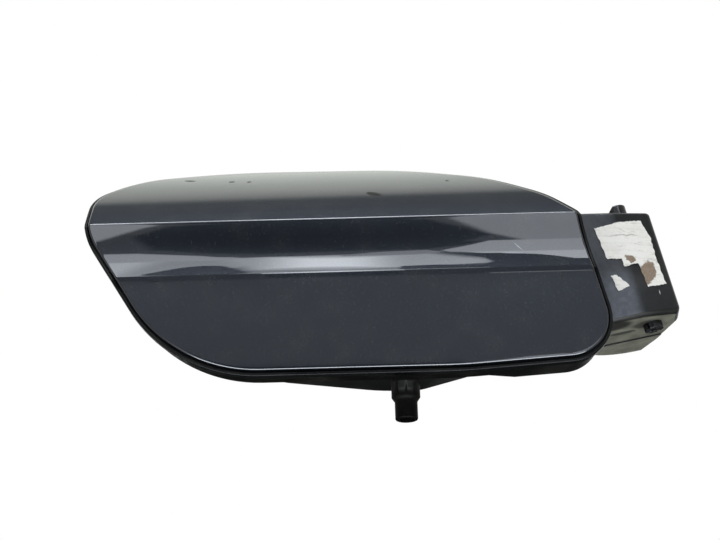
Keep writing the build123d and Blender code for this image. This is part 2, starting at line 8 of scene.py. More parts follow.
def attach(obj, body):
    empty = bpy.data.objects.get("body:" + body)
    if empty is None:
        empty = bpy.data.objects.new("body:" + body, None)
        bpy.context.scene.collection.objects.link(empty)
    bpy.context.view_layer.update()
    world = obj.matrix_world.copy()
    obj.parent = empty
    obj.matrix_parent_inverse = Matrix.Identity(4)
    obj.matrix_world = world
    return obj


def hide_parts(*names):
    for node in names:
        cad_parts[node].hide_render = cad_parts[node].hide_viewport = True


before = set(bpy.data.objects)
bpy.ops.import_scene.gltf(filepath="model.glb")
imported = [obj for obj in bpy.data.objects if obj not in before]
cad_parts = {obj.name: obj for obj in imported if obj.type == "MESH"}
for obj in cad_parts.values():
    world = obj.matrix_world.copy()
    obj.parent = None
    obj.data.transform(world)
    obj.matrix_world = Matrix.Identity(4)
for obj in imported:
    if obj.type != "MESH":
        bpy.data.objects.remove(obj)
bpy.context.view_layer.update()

bl_info = {
    "name": "Car fuel door",
    "version": (1, 0, 0),
    "blender": (4, 5, 0),
    "location": "3D View > Sidebar > Fuel Door",
    "description": "Dresses the fuel door and its filler housing, and sets the stage",
    "category": "Object",
}

MM = 0.001
# Place of the crease line's middle in the row frame, millimetres
PANEL_AT = Vector((-13.0, -61.0, 24.0))
AXIS_SLANT = radians(11.0)

# Outline of the painted panel, square on: across, up and corner radius, millimetres
PANEL_CORNERS = (
    (-83.6, -71.6, 68.0),
    (45.0, -71.6, 250.0),
    (115.3, -67.2, 19.0),
    (100.9, 0.6, 7.0),
    (87.5, 13.4, 45.0),
    (60.0, 28.8, 90.0),
    (20.0, 38.6, 160.0),
    (-58.0, 40.2, 260.0),
    (-104.0, 33.8, 50.0),
    (-124.6, 18.6, 14.0),
    (-125.4, -3.6, 22.0),
)
# Torn paper: across and up the hinge axis, millimetres
LABEL_CORNERS = (
    (107.6, -24.4),
    (122.7, -23.5),
    (131.0, -23.7),
    (133.3, -32.8),
    (132.8, -43.8),
    (133.7, -56.7),
    (124.2, -57.4),
    (123.1, -45.0),
    (116.2, -46.0),
    (115.6, -41.8),
    (109.3, -40.4),
)
SCRAP_CORNERS = ((108.6, -49.0), (111.0, -49.0), (115.8, -55.6), (109.8, -57.1))
# Face of the hinge pocket under the paper: across and depth, at its ridge and at its far side, millimetres
POCKET_RIDGE = (119.0, 12.0)
POCKET_SIDE = (137.0, 17.8)
# Height of the paper's sharpest crease and half its width, millimetres
PAPER_CREASE = (-30.2, 1.2)

# What the camera looks at, in the panel frame, metres
CAMERA_TARGET = (0.0, 0.0, -0.0259)
# Middle of the cove, which the cards stand round, in the panel frame, metres
COVE_MIDDLE = (0.0, 0.003, -0.013)
DAYLIGHT = "#f3f8ff"
SKYLIGHT = "#fafff8"
# Cards that the paint mirrors: name, reach in metres, corners (across in metres, rise above the level
# of the cove in degrees), strength, width of the soft edge in metres, tint
CARDS = (
    # Light on the crown, fading towards the crease
    ("softbox_over", 0.90, ((-0.9, 82), (0.9, 97), (0.9, 138), (-0.9, 126)), 2.1, 0.20, SKYLIGHT),
    ("dark_flag_over", 0.84, ((-0.9, 64), (0.9, 64), (0.9, 101), (-0.9, 90.5)), 0.12, 0.08, DAYLIGHT),
    # Even grey on the lower face
    ("grey_wall", 1.10, ((-0.9, -15), (0.9, -15), (0.9, 62), (-0.9, 62)), 0.8, 0.05, DAYLIGHT),
    # Bright band in the lower half of the cove, brightest in its middle
    (
        "softbox_core",
        0.68,
        ((-0.112, 26), (0.050, 30.5), (0.050, 53.5), (-0.112, 50)),
        18.0,
        0.07,
        DAYLIGHT,
    ),
    (
        "softbox_middle",
        0.70,
        ((-0.155, 27), (-0.02, 26), (0.080, 26), (0.150, 42), (0.150, 49), (-0.02, 56), (-0.125, 52)),
        8.0,
        0.035,
        DAYLIGHT,
    ),
    (
        "softbox_behind",
        0.74,
        ((-0.150, 36), (0.150, 36), (0.150, 46), (0.095, 53), (0.03, 60), (-0.02, 66), (-0.125, 66)),
        4.0,
        0.04,
        DAYLIGHT,
    ),
    # Light at the left end of the cove
    (
        "softbox_left",
        0.72,
        ((-0.34, 24.5), (-0.12, 25.5), (-0.10, 40), (-0.12, 46), (-0.20, 60), (-0.34, 64)),
        5.8,
        0.014,
        DAYLIGHT,
    ),
    (
        "softbox_far_left",
        0.70,
        ((-0.36, 24), (-0.170, 24), (-0.235, 62), (-0.36, 66)),
        10.5,
        0.045,
        DAYLIGHT,
    ),
    (
        "softbox_near_left",
        0.060,
        ((-0.140, 15.0), (-0.112, 15.5), (-0.080, 20.5), (-0.062, 25.5), (-0.066, 29.0), (-0.140, 29.0)),
        7.0,
        0.002,
        DAYLIGHT,
    ),
    (
        "softbox_low_left",
        0.46,
        ((-0.293, -42), (-0.126, -36), (-0.170, -23), (-0.190, -13), (-0.207, -4), (-0.293, 1)),
        6.0,
        0.011,
        DAYLIGHT,
    ),
    # Light at the right end of the cove; the near cards are out of the lower face's sight
    (
        "softbox_right_low",
        0.46,
        ((0.048, -42), (0.273, -42), (0.273, 10.6), (0.128, 10.6), (0.100, -2)),
        5.0,
        0.012,
        DAYLIGHT,
    ),
    (
        "softbox_near_right",
        0.060,
        (
            (0.066, 10.5),
            (0.120, 10.5),
            (0.120, 27.0),
            (0.060, 25.8),
            (0.046, 25.0),
            (0.040, 22.0),
            (0.056, 15.5),
        ),
        7.0,
        0.0012,
        DAYLIGHT,
    ),
    (
        "softbox_near_middle",
        0.061,
        ((-0.010, 25.0), (0.010, 21.5), (0.034, 20.5), (0.046, 24.5), (0.030, 27.5), (-0.010, 27.5)),
        4.5,
        0.0012,
        DAYLIGHT,
    ),
    (
        "softbox_right",
        0.72,
        ((0.085, 25.5), (0.34, 25.5), (0.34, 47), (0.215, 46)),
        10.0,
        0.014,
        DAYLIGHT,
    ),
    # Thin light lines along the lower rim and the crease
    (
        "softbox_under",
        0.32,
        ((-0.30, -82), (0.30, -82), (0.30, -48), (-0.30, -48)),
        24.0,
        0.025,
        DAYLIGHT,
    ),
    (
        "softbox_crease",
        0.80,
        ((-0.34, 63), (0.34, 63), (0.34, 73), (-0.34, 73)),
        30.0,
        0.012,
        DAYLIGHT,
    ),
    # Long dark shape in the upper half of the cove
    (
        "dark_flag_front",
        0.66,
        ((-0.225, -10), (-0.19, -26), (-0.02, -32), (0.075, -26), (0.135, 0), (0.10, 12.5), (-0.205, 12.5)),
        0.1,
        0.015,
        DAYLIGHT,
    ),
    (
        "dark_flag_near",
        0.063,
        (
            (-0.112, 11.0),
            (0.066, 11.0),
            (0.052, 16.5),
            (0.033, 20.5),
            (0.0, 20.5),
            (-0.05, 21.5),
            (-0.078, 19.0),
            (-0.104, 12.6),
        ),
        0.1,
        0.0015,
        DAYLIGHT,
    ),
    # Dark wedges at the foot of the cove, left and right
    (
        "dark_flag_left",
        0.62,
        (
            (-0.215, 58),
            (-0.2034, 53),
            (-0.185, 47),
            (-0.166, 42),
            (-0.148, 40),
            (-0.1295, 40.5),
            (-0.121, 43),
            (-0.093, 61),
            (-0.093, 66),
            (-0.215, 66),
        ),
        0.3,
        0.006,
        DAYLIGHT,
    ),
    (
        "dark_flag_right",
        0.62,
        (
            (0.085, 29.5),
            (0.1294, 30.5),
            (0.1664, 34),
            (0.185, 38),
            (0.2034, 43.5),
            (0.32, 48),
            (0.32, 66),
            (0.030, 66),
            (0.036, 50),
            (0.074, 49),
            (0.111, 51.5),
            (0.122, 46),
            (0.113, 38),
            (0.098, 33),
        ),
        0.2,
        0.005,
        DAYLIGHT,
    ),
    # Dark strips that keep the near cards out of the soft edge below the cove
    (
        "dark_flag_edge_left",
        0.0166,
        ((-0.125, -33), (-0.044, -33), (-0.047, 11), (-0.125, 11)),
        0.4,
        0.0005,
        DAYLIGHT,
    ),
    (
        "dark_flag_edge_right",
        0.0166,
        ((0.020, -33), (0.125, -33), (0.125, 11), (0.021, 11)),
        0.4,
        0.0005,
        DAYLIGHT,
    ),
    # Dark card below and behind, so that the underside stays black
    (
        "dark_flag_under",
        0.31,
        ((-0.5, -178), (0.5, -178), (0.5, -92), (-0.5, -92)),
        0.05,
        0.05,
        DAYLIGHT,
    ),
)


def linear(code):
    """Linear RGBA of an sRGB hex value."""
    parts = [int(code[i : i + 2], 16) / 255 for i in (1, 3, 5)]
    return tuple(c / 12.92 if c <= 0.04045 else ((c + 0.055) / 1.055) ** 2.4 for c in parts) + (1.0,)


def length(name, description, millimetres):
    return FloatProperty(name=name, description=description, default=millimetres * MM, unit="LENGTH")


def turn(name, description, degrees):
    return FloatProperty(name=name, description=description, default=radians(degrees), subtype="ANGLE")


def colour(name, description, code):
    return FloatVectorProperty(
        name=name, description=description, default=linear(code), size=4, min=0.0, max=1.0, subtype="COLOR"
    )


class PanelSizes(bpy.types.PropertyGroup):
    crown_radius: length("Crown radius", "Radius of the face above the crease", 122.0)
    crown_lean: turn("Crown lean", "Lean of the upper face at the crease", 25.5)
    cove_radius: length("Cove radius", "Radius of the hollow band below the crease", 32.5)
    cove_undercut: turn("Cove undercut", "How far the hollow turns under at the crease", 28.0)
    cove_outturn: turn("Cove outturn", "Lean of the hollow where it runs out", 17.5)
    edge_radius: length("Soft edge radius", "Radius between the hollow and the lower face", 3.0)
    foot_lean: turn("Foot lean", "Lean at the top of the lower face", 1.5)
    foot_radius: length("Foot radius", "Radius of the lower face", 1200.0)
    crease_round: length("Crease rounding", "Radius of the crease line", 0.9)
    thickness: length("Panel thickness", "Thickness of the panel", 2.8)
    rim_round: length("Rim rounding", "Radius of the panel's front rim", 0.8)


class PaperSizes(bpy.types.PropertyGroup):
    thickness: length("Paper thickness", "Thickness of the torn paper with its glue", 0.25)
    tear: length("Tear", "Depth of the teeth along the torn edges", 0.45)
    wrinkle: length("Wrinkle", "Height of the wrinkles", 0.12)


class Finishes(bpy.types.PropertyGroup):
    paint: colour("Paint", "Charcoal metallic base coat", "#0e1116")
    dust: colour("Dust", "Road dust", "#77796d")
    # Bluish colour of the pocket's scuffed hazing; it also paints light on the pocket's face: a lighter
    # left facet and a painted highlight towards the bottom
    haze_and_highlight: colour("Haze", "Bluish haze on the pocket's face", "#5a606b")
    brass: colour("Brass", "Tinned brass of the plug's blades", "#b9a774")
    rubber: colour("Rubber", "Black rubber", "#0f0f0f")
    paper: colour("Paper", "Torn paper", "#e2e3e0")
    stain: colour("Stain", "Old glue and rust stain", "#7a6a58")
    acetal: colour("Acetal", "Natural plastic of the lock bolt", "#cdc7b8")
    zinc: colour("Zinc", "Zinc plated steel", "#b9b4a6")
    wire: colour("Wire", "Drawn spring wire", "#8d8f92")


class StageSizes(bpy.types.PropertyGroup):
    camera_distance: length("Camera distance", "From the camera to the middle of the panel", 600.0)
    camera_drop: turn("Camera drop", "How far the camera is below the level of the panel", 22.0)
    camera_roll: turn("Camera roll", "Tilt of the picture", 1.5)
    lens: FloatProperty(name="Lens", description="Focal length in millimetres", default=66.0, unit="CAMERA")
    floor_drop: length("Floor drop", "From the origin down to the floor", 330.0)


def settings():
    return bpy.context.scene.fuel_door


class FuelDoorSettings(bpy.types.PropertyGroup):
    panel: PointerProperty(type=PanelSizes)
    paper: PointerProperty(type=PaperSizes)
    finishes: PointerProperty(type=Finishes)
    stage: PointerProperty(type=StageSizes)


# Geometry shared by the pieces


def to_row(x, y, z):
    """Panel frame in metres to row frame in metres."""
    return Vector((x, y, z)) + PANEL_AT * MM


class Section:
    """Depth of the panel face at each height, in the panel frame, metres."""

    def __init__(self, sizes):
        self.crown_r = sizes.crown_radius
        self.cove_r = sizes.cove_radius
        self.edge_r = sizes.edge_radius
        self.foot_r = sizes.foot_radius
        self.round_r = sizes.crease_round
        self.crown = self.at((0.0, 0.0), -self.crown_r, sizes.crown_lean)
        self.cove = self.at((0.0, 0.0), self.cove_r, -sizes.cove_undercut)
        self.cove_foot = self.at(self.cove, -self.cove_r, sizes.cove_outturn)
        self.edge = self.at(self.cove_foot, -self.edge_r, sizes.cove_outturn)
        self.edge_foot = self.at(self.edge, self.edge_r, sizes.foot_lean)
        self.foot = self.at(self.edge_foot, -self.foot_r, sizes.foot_lean)
        self.round = self.crease_middle()
        to_crown = Vector(self.round) - Vector(self.crown)
        to_cove = Vector(self.round) - Vector(self.cove)
        self.round_top = self.crown[1] + to_crown.y * self.crown_r / to_crown.length
        self.round_low = self.cove[1] + to_cove.y * self.cove_r / to_cove.length

    @staticmethod
    def at(centre, radius, lean):
        return (centre[0] - radius * cos(lean), centre[1] + radius * sin(lean))

    def crease_middle(self):
        """Centre of the crease's rounding: the point that far behind both faces."""
        r1 = self.crown_r - self.round_r
        r2 = self.cove_r + self.round_r
        dy = self.cove[0] - self.crown[0]
        dz = self.cove[1] - self.crown[1]
        apart = hypot(dy, dz)
        along = (r1 * r1 - r2 * r2 + apart * apart) / (2 * apart)
        aside = sqrt(r1 * r1 - along * along)
        my = self.crown[0] + along * dy / apart
        mz = self.crown[1] + along * dz / apart
        both = (
            (my - aside * dz / apart, mz + aside * dy / apart),
            (my + aside * dz / apart, mz - aside * dy / apart),
        )
        return min(both, key=lambda p: hypot(p[0], p[1]))

    def depth(self, z):
        if z > self.round_top:
            return self.crown[0] - sqrt(self.crown_r**2 - (z - self.crown[1]) ** 2)
        if z > self.round_low:
            return self.round[0] - sqrt(max(self.round_r**2 - (z - self.round[1]) ** 2, 0.0))
        if z > self.cove_foot[1]:
            return self.cove[0] + sqrt(self.cove_r**2 - (z - self.cove[1]) ** 2)
        if z > self.edge_foot[1]:
            return self.edge[0] - sqrt(self.edge_r**2 - (z - self.edge[1]) ** 2)
        return self.foot[0] - sqrt(self.foot_r**2 - (z - self.foot[1]) ** 2)

    def rows(self, low, high):
        """Heights to cut the panel at, closer where the face bends more."""
        bands = (
            (low, self.edge_foot[1], 2.0 * MM),
            (self.edge_foot[1], self.cove_foot[1], 0.15 * MM),
            (self.cove_foot[1], self.round_low, 0.5 * MM),
            (self.round_low, self.round_top, 0.12 * MM),
            (self.round_top, high, 0.8 * MM),
        )
        heights = []
        for start, end, step in bands:
            count = ceil((end - start) / step)
            heights += [start + (end - start) * i / count for i in range(1, count + 1)]
        return heights[:-1]


def rounded_outline(corners, step=0.8):
    """Points round an outline whose corners have radii, millimetres."""
    points = []
    for i, (x, z, radius) in enumerate(corners):
        here = Vector((x, z))
        back = (Vector(corners[i - 1][:2]) - here).normalized()
        on = (Vector(corners[(i + 1) % len(corners)][:2]) - here).normalized()
        bend = pi - back.angle(on)
        reach = radius * tan(bend / 2)
        centre = here + (back + on).normalized() * radius / cos(bend / 2)
        start = here + back * reach - centre
        count = max(3, ceil(radius * bend / step))
        side = 1.0 if back.x * on.y - back.y * on.x < 0 else -1.0
        for k in range(count + 1):
            a = side * bend * k / count
            spun = (start.x * cos(a) - start.y * sin(a), start.x * sin(a) + start.y * cos(a))
            points.append(centre + Vector(spun))
    return points


def flat_piece(name, points):
    """A flat face through points (across, up) in the XZ plane, facing outwards, metres."""
    bpy.ops.object.select_all(action="DESELECT")
    bpy.ops.mesh.primitive_circle_add(vertices=len(points), radius=0.1, fill_type="NGON")
    piece = bpy.context.object
    piece.name = name
    for vertex, point in zip(piece.data.vertices, points):
        vertex.co = (point[0], 0.0, point[1])
    return piece


def cut_rows(piece, places, normal):
    """Cuts the whole piece by a row of planes."""
    bpy.ops.object.mode_set(mode="EDIT")
    for place in places:
        bpy.ops.mesh.select_all(action="SELECT")
        bpy.ops.mesh.bisect(plane_co=place, plane_no=normal)
    bpy.ops.mesh.select_all(action="SELECT")
    bpy.ops.mesh.remove_doubles(threshold=0.02 * MM)
    bpy.ops.object.mode_set(mode="OBJECT")


def apply_modifier(piece, kind, **values):
    modifier = piece.modifiers.new(kind.title(), kind)
    for key, value in values.items():
        setattr(modifier, key, value)
    bpy.context.view_layer.objects.active = piece
    bpy.ops.object.modifier_apply(modifier=modifier.name)


def finish_piece(piece, body, node, material, smooth=30.0):
    """Settles a piece at the origin with its finish, in place of its CAD node."""
    bpy.ops.object.select_all(action="DESELECT")
    piece.select_set(True)
    bpy.context.view_layer.objects.active = piece
    bpy.ops.object.transform_apply(location=True, rotation=True, scale=True)
    bpy.ops.object.shade_smooth_by_angle(angle=radians(smooth))
    piece.data.materials.clear()
    piece.data.materials.append(material)
    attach(piece, body)
    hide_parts(node)


def carry_over(node, body, material, smooth=30.0):
    """A copy of a CAD node with its triangles joined, so that its round faces shade as round."""
    piece = bpy.data.objects.new(node + "_dressed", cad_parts[node].data.copy())
    bpy.context.collection.objects.link(piece)
    bpy.ops.object.select_all(action="DESELECT")
    piece.select_set(True)
    bpy.context.view_layer.objects.active = piece
    bpy.ops.object.mode_set(mode="EDIT")
    bpy.ops.mesh.select_all(action="SELECT")
    bpy.ops.mesh.remove_doubles(threshold=0.001 * MM)
    bpy.ops.mesh.dissolve_limited(angle_limit=radians(0.2))
    bpy.ops.object.mode_set(mode="OBJECT")
    finish_piece(piece, body, node, material, smooth)
    apply_modifier(piece, "WEIGHTED_NORMAL", keep_sharp=True, weight=80)
    return piece


# Materials

# Settings of nodes that hold a value between limits: inputs 0 value, 1 and 2 limits, 3 and 4 results
SMOOTH = {"interpolation_type": "SMOOTHSTEP"}
# Settings of nodes that mix two colours: inputs 0 share, 6 first colour, 7 second colour
COLOURS = {"data_type": "RGBA", "output": 2}

# Flecks and the dark dash on the crown: middle and half size in metres, turn in radians
PAINT_MARKS = (
    ((-0.0055, -0.0515, 0.0405), (0.0040, 0.01, 0.0014), 0.3),
    ((-0.0945, -0.0389, 0.0560), (0.0030, 0.01, 0.0007), 0.1),
    ((-0.0740, -0.0407, 0.0540), (0.0016, 0.01, 0.0007), 0.0),
    ((-0.0655, -0.0412, 0.0535), (0.0012, 0.01, 0.0006), -0.2),
    ((0.0300, -0.0440, 0.0500), (0.0010, 0.01, 0.0006), 0.2),
)


def put(tree, kind, inputs=None, output=0, **values):
    """Adds a node with its settings, input values and links, and gives one of its outputs."""
    node = tree.nodes.new(kind)
    for key, value in values.items():
        setattr(node, key, value)
    for key, value in (inputs or {}).items():
        if isinstance(value, bpy.types.NodeSocket):
            tree.links.new(value, node.inputs[key])
        else:
            node.inputs[key].default_value = value
    return node.outputs[output]


def start_material(name):
    """A new material, its node tree, its shader and the object's own coordinates."""
    material = bpy.data.materials.new(name)
    material.use_nodes = True
    tree = material.node_tree
    place = put(tree, "ShaderNodeTexCoord", output="Object")
    return material, tree, tree.nodes["Principled BSDF"], place


def spot(tree, place, middle, size, tilt=0.0, soft=0.5):
    """A soft-edged spot of a given size in metres, turned in the plane of the panel."""
    local = put(
        tree,
        "ShaderNodeMapping",
        {"Vector": place, "Location": middle, "Rotation": (0.0, tilt, 0.0), "Scale": size},
        vector_type="TEXTURE",
    )
    ball = put(tree, "ShaderNodeTexGradient", {"Vector": local}, "Fac", gradient_type="SPHERICAL")
    return put(tree, "ShaderNodeMapRange", {0: ball, 1: 0.0, 2: soft}, **SMOOTH)


def narrowed(tree, mask, limits):
    """A mask made weaker by patterns, each with its two limits and its two results."""
    for pattern, low, high, start, end in limits:
        part = put(tree, "ShaderNodeMapRange", {0: pattern, 1: low, 2: high, 3: start, 4: end}, **SMOOTH)
        mask = put(tree, "ShaderNodeMath", {0: mask, 1: part}, operation="MULTIPLY")
    return mask


def charcoal_paint():
    """Charcoal metallic car paint under clear coat: deep and dark, with sharp reflections,
    fine flake, a little orange peel, road dust, flecks of dirt and a scratch."""
    look = settings().finishes
    material, tree, shader, place = start_material("charcoal_metallic_paint")
    # Real flake is under 0.05 mm; it is drawn at 0.28 mm so that it shows
    flake = put(tree, "ShaderNodeTexVoronoi", {"Vector": place, "Scale": 1.0 / (0.28 * MM)}, "Color")
    grey = put(tree, "ShaderNodeSeparateColor", {"Color": flake}, "Red")
    bright = put(tree, "ShaderNodeMapRange", {0: grey, 1: 0.0, 2: 1.0, 3: 0.82, 4: 1.22}, **SMOOTH)
    flaked = put(tree, "ShaderNodeHueSaturation", {"Color": tuple(look.paint), "Value": bright, "Fac": 1.0})
    cloud = put(tree, "ShaderNodeTexNoise", {"Vector": place, "Scale": 1.0 / (14.0 * MM), "Detail": 6.0})
    film = put(tree, "ShaderNodeMapRange", {0: cloud, 1: 0.45, 2: 0.8, 3: 0.0, 4: 0.018}, **SMOOTH)
    grain = put(tree, "ShaderNodeTexNoise", {"Vector": place, "Scale": 1.0 / (1.1 * MM), "Detail": 3.0})
    grit = put(tree, "ShaderNodeMapRange", {0: grain, 1: 0.58, 2: 0.8, 3: 0.0, 4: 0.05}, **SMOOTH)
    dusty = put(tree, "ShaderNodeMath", {0: film, 1: grit}, operation="ADD")
    coloured = put(tree, "ShaderNodeMix", {0: dusty, 6: flaked, 7: tuple(look.dust)}, **COLOURS)
    marks = 0.0
    for middle, size, tilt in PAINT_MARKS:
        fleck = spot(tree, place, middle, size, tilt, 0.16)
        marks = put(tree, "ShaderNodeMath", {0: marks, 1: fleck}, operation="MAXIMUM")
    coloured = put(tree, "ShaderNodeMix", {0: marks, 6: coloured, 7: linear("#0b0a09")}, **COLOURS)
    coat = put(tree, "ShaderNodeMapRange", {0: marks, 1: 0.0, 2: 1.0, 3: 1.0, 4: 0.05}, **SMOOTH)
    tree.links.new(coat, shader.inputs["Coat Weight"])
    scratch = spot(tree, place, (0.0602, -0.0573, 0.0092), (0.0040, 0.02, 0.00026), radians(45.0), 0.9)
    scuff = spot(tree, place, (0.0570, -0.0573, 0.0062), (0.0060, 0.02, 0.0006), 0.05, 0.6)
    rubbed = put(tree, "ShaderNodeMath", {0: scuff, 1: 0.2}, operation="MULTIPLY")
    worn = put(tree, "ShaderNodeMath", {0: scratch, 1: rubbed}, operation="MAXIMUM")
    coloured = put(tree, "ShaderNodeMix", {0: worn, 6: coloured, 7: linear("#565b61")}, **COLOURS)
    tree.links.new(coloured, shader.inputs["Base Color"])
    peel = put(tree, "ShaderNodeTexNoise", {"Vector": place, "Scale": 1.0 / (5.0 * MM), "Detail": 2.0})
    bump = put(tree, "ShaderNodeBump", {"Strength": 0.05, "Distance": 0.03 * MM, "Height": peel})
    tree.links.new(bump, shader.inputs["Coat Normal"])
    shader.inputs["Metallic"].default_value = 0.8
    shader.inputs["Roughness"].default_value = 0.42
    shader.inputs["Coat IOR"].default_value = 1.42
    shader.inputs["Coat Roughness"].default_value = 0.03
    shader.inputs["Specular IOR Level"].default_value = 0.1
    return material


def moulded_plastic(name, code, grain=0.5, dusty=0.12, rough=0.5, sheen=0.2):
    """Black plastic from a grained mould: a dull sheen broken by fine grain, edges slightly
    rounded, a film of road dust. The grain is in millimetres."""
    look = settings().finishes
    material, tree, shader, place = start_material(name)
    cloud = put(tree, "ShaderNodeTexNoise", {"Vector": place, "Scale": 1.0 / (22.0 * MM), "Detail": 8.0})
    speck = put(tree, "ShaderNodeTexNoise", {"Vector": place, "Scale": 1.0 / (0.9 * MM), "Detail": 2.0})
    clouded = put(tree, "ShaderNodeMapRange", {0: cloud, 1: 0.4, 2: 0.75, 3: 0.0, 4: dusty}, **SMOOTH)
    specked = put(tree, "ShaderNodeMapRange", {0: speck, 1: 0.6, 2: 0.8, 3: 0.0, 4: dusty}, **SMOOTH)
    film = put(tree, "ShaderNodeMath", {0: clouded, 1: specked}, operation="ADD")
    coloured = put(tree, "ShaderNodeMix", {0: film, 6: linear(code), 7: tuple(look.dust)}, **COLOURS)
    tree.links.new(coloured, shader.inputs["Base Color"])
    limits = {0: cloud, 1: 0.3, 2: 0.7, 3: rough - 0.08, 4: rough + 0.1}
    tree.links.new(put(tree, "ShaderNodeMapRange", limits, **SMOOTH), shader.inputs["Roughness"])
    soft = put(tree, "ShaderNodeBevel", {"Radius": 0.4 * MM}, samples=6)
    leather = put(tree, "ShaderNodeTexNoise", {"Vector": place, "Scale": 1.0 / (grain * MM), "Detail": 2.0})
    heights = {"Strength": 0.25, "Distance": 0.05 * MM, "Height": leather, "Normal": soft}
    tree.links.new(put(tree, "ShaderNodeBump", heights), shader.inputs["Normal"])
    shader.inputs["Specular IOR Level"].default_value = sheen
    return material


def housing_plastic():
    """Moulded polypropylene that has stood in the weather. The face of the hinge pocket has a bluish,
    scuffed hazing that is partly painted light: its left facet is lighter than its right, and it is lighter
    towards the bottom as a painted highlight. Its downward faces turn pale olive grey in patches, with
    painted shade in a dark band where the face bends into the cheek and in a thin streak, and a painted
    shadow round the hinge pin."""
    look = settings().finishes
    material = moulded_plastic("moulded_black_polypropylene", "#0e0f0e", 0.5, 0.05, 0.4, 0.14)
    tree = material.node_tree
    shader = tree.nodes["Principled BSDF"]
    place = put(tree, "ShaderNodeTexCoord", output="Object")
    beside, inward, height = (put(tree, "ShaderNodeSeparateXYZ", {"Vector": place}, axis) for axis in "XYZ")
    facing = put(tree, "ShaderNodeNewGeometry", output="True Normal")
    down = (sin(AXIS_SLANT), 0.0, -cos(AXIS_SLANT))
    under = put(tree, "ShaderNodeVectorMath", {0: facing, 1: down}, "Value", operation="DOT_PRODUCT")
    patch = put(tree, "ShaderNodeTexNoise", {"Vector": place, "Scale": 1.0 / (7.0 * MM), "Detail": 6.0})
    # Painted shade: a dark band where the pocket's face bends round into its cheek
    fold_shade = spot(tree, place, (0.1035, -0.0415, -0.0250), (0.0120, 0.0085, 0.02), 0.0, 0.6)
    # Painted shade: a thin dark streak across the cheek
    streak = spot(tree, place, (0.1095, -0.0290, -0.0245), (0.0100, 0.0030, 0.02), 0.0, 0.6)
    # Painted shadow round the end of the hinge pin
    pin_shadow = spot(tree, place, (0.1200, -0.0355, -0.0225), (0.0095, 0.0070, 0.02), 0.0, 0.6)
    # The downward faces of the pocket's cheek turn pale olive grey in patches; the three spots above darken
    # them again
    pale_underside = narrowed(
        tree,
        put(tree, "ShaderNodeMapRange", {0: under, 1: 0.94, 2: 0.995}, **SMOOTH),
        (
            (beside, 0.086, 0.098, 0.0, 1.0),
            (patch, 0.3, 0.7, 0.55, 0.95),
            (fold_shade, 0.0, 1.0, 1.0, 0.08),
            (streak, 0.0, 1.0, 1.0, 0.3),
            (pin_shadow, 0.0, 1.0, 1.0, 0.3),
        ),
    )
    ahead = (0.0, -1.0, 0.0)
    front = put(tree, "ShaderNodeVectorMath", {0: facing, 1: ahead}, "Value", operation="DOT_PRODUCT")
    scuffs = put(tree, "ShaderNodeTexNoise", {"Vector": place, "Scale": 1.0 / (2.5 * MM), "Detail": 8.0})
    square = (cos(AXIS_SLANT), 0.0, sin(AXIS_SLANT))
    across = put(tree, "ShaderNodeVectorMath", {0: place, 1: square}, "Value", operation="DOT_PRODUCT")
    # Bluish scuffed hazing on the pocket's face, partly painted light: the left facet is made lighter than
    # the right, and the face lighter towards the bottom as a painted highlight
    hazed_and_lit = narrowed(
        tree,
        put(tree, "ShaderNodeMapRange", {0: across, 1: 0.1065, 2: 0.1120, 3: 0.92, 4: 0.10}, **SMOOTH),
        (
            (beside, 0.084, 0.09, 0.0, 1.0),
            (front, 0.85, 0.92, 0.0, 1.0),
            (inward, -0.036, -0.030, 1.0, 0.0),
            (height, -0.009, 0.003, 0.9, 0.30),
            (scuffs, 0.3, 0.7, 0.7, 1.0),
        ),
    )
    clean = shader.inputs["Base Color"].links[0].from_socket
    coloured = put(tree, "ShaderNodeMix", {0: hazed_and_lit, 6: clean, 7: tuple(look.haze_and_highlight)}, **COLOURS)
    tick = spot(tree, place, (0.1254, -0.0457, -0.0107), (0.0003, 0.01, 0.0016), radians(-8.0), 0.9)
    coloured = put(tree, "ShaderNodeMix", {0: tick, 6: coloured, 7: linear("#c9cccf")}, **COLOURS)
    coloured = put(tree, "ShaderNodeMix", {0: pale_underside, 6: coloured, 7: tuple(look.dust)}, **COLOURS)
    tree.links.new(coloured, shader.inputs["Base Color"])
    pocket = put(tree, "ShaderNodeMapRange", {0: beside, 1: 0.084, 2: 0.090, 3: 0.08, 4: 0.15}, **SMOOTH)
    polished = narrowed(tree, pocket, ((height, -0.048, -0.042, 0.15, 1.0),))
    tree.links.new(polished, shader.inputs["Specular IOR Level"])
    return material


def rubber():
    """Black moulded rubber: dark and dull, with a faint bloom."""
    look = settings().finishes
    material, tree, shader, place = start_material("black_epdm_rubber")
    bloom = put(tree, "ShaderNodeTexNoise", {"Vector": place, "Scale": 1.0 / (9.0 * MM), "Detail": 6.0})
    pale = put(tree, "ShaderNodeMapRange", {0: bloom, 1: 0.45, 2: 0.8, 3: 0.0, 4: 0.12}, **SMOOTH)
    coloured = put(tree, "ShaderNodeMix", {0: pale, 6: tuple(look.rubber), 7: tuple(look.dust)}, **COLOURS)
    tree.links.new(coloured, shader.inputs["Base Color"])
    dulled = put(tree, "ShaderNodeMapRange", {0: bloom, 1: 0.3, 2: 0.7, 3: 0.62, 4: 0.8}, **SMOOTH)
    tree.links.new(dulled, shader.inputs["Roughness"])
    fine = put(tree, "ShaderNodeTexNoise", {"Vector": place, "Scale": 1.0 / (0.6 * MM)})
    bump = put(tree, "ShaderNodeBump", {"Strength": 0.15, "Distance": 0.04 * MM, "Height": fine})
    tree.links.new(bump, shader.inputs["Normal"])
    shader.inputs["Specular IOR Level"].default_value = 0.3
    return material


